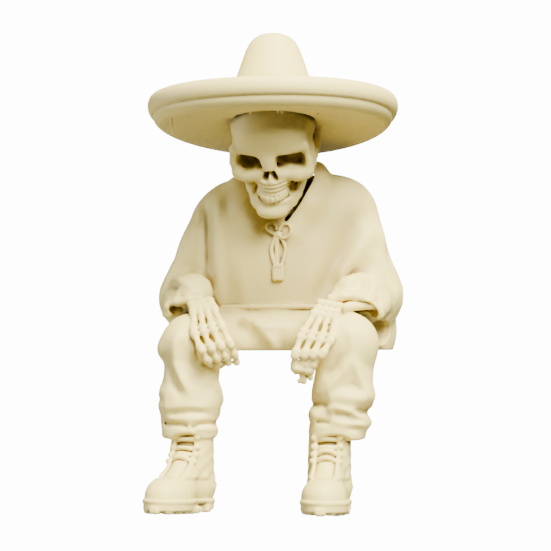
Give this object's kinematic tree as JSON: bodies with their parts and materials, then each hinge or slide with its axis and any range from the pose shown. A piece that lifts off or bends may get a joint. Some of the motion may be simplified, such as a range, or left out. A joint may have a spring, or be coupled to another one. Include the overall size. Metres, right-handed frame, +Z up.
{
  "type": "skeleton shelf sitter figurine",
  "caption": "One-piece plastic skeleton in a wide sombrero, poncho, trousers and laced boots, seated with its hands on its knees to sit on a shelf's edge.",
  "frame": {"origin": "middle of the flat underside of the seat, which rests on the shelf", "axes": "+Z up, the figure faces -Y, its left hand is towards +X"},
  "size_m": [0.0935, 0.1093, 0.1697],
  "materials": {
    "ivory_plastic": "satin ivory printed plastic with fine level layer lines"
  },
  "bodies": {
    "root": {"skeleton_shelf_sitter": "ivory_plastic"}
  },
  "joints": []
}
